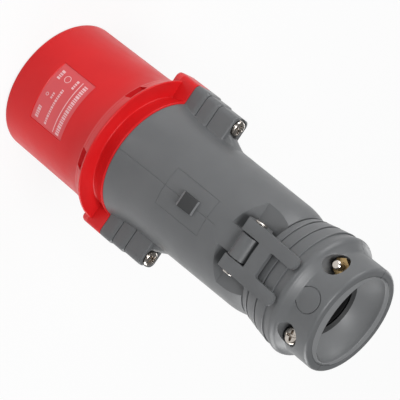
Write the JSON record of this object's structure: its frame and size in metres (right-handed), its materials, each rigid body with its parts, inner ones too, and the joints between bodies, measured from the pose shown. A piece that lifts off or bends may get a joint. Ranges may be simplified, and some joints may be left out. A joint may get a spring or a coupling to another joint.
{
  "type": "industrial pin and sleeve plug",
  "caption": "Industrial pin and sleeve plug: red sleeve with contact pins, grey tapered housing with a hinged H-shaped latch and a two-piece cable clamp.",
  "frame": {"origin": "centre of the sleeve's mouth plane, on the plug's axis", "axes": "+Z along the plug from the mouth to the cable entry, -Y towards the latch side, +Y towards the key and the earth pin, X across the two screw ears"},
  "size_m": [0.0804, 0.0752, 0.1923],
  "materials": {
    "red_plastic": "moulded, fine satin texture",
    "grey_plastic": "moulded, fine satin texture",
    "dark_plastic": "moulded, satin",
    "contact_metal": "turned, thin bright nickel plating",
    "brass": "machined",
    "zinc_steel": "bright zinc plating",
    "rubber": "matte"
  },
  "bodies": {
    "plug": {"front_sleeve": "red_plastic", "pin_carrier": "dark_plastic", "pin_l1": "contact_metal", "pin_l2": "contact_metal", "pin_l3": "contact_metal", "pin_earth": "contact_metal", "terminal_screw_l1": "zinc_steel", "terminal_screw_l2": "zinc_steel", "terminal_screw_l3": "zinc_steel", "terminal_screw_earth": "zinc_steel", "body_gasket": "rubber", "rear_housing": "grey_plastic", "ear_insert_left": "brass", "ear_insert_right": "brass", "housing_screw_left": "zinc_steel", "housing_screw_right": "zinc_steel", "latch_pin": "zinc_steel", "cable_seal": "rubber", "clamp_half_latch_side": "grey_plastic", "clamp_half_key_side": "grey_plastic", "clamp_screw_right": "zinc_steel", "clamp_screw_left": "zinc_steel", "clamp_nut_right": "brass", "clamp_nut_left": "brass"},
    "latch": {"latch_lever": "grey_plastic"}
  },
  "joints": [
    {"name": "latch_hinge", "type": "hinge", "parent": "plug", "child": "latch", "pos_m": [0, -0.0246, 0.1448], "axis": [1, 0, 0], "range_deg": [0, 100]}
  ]
}
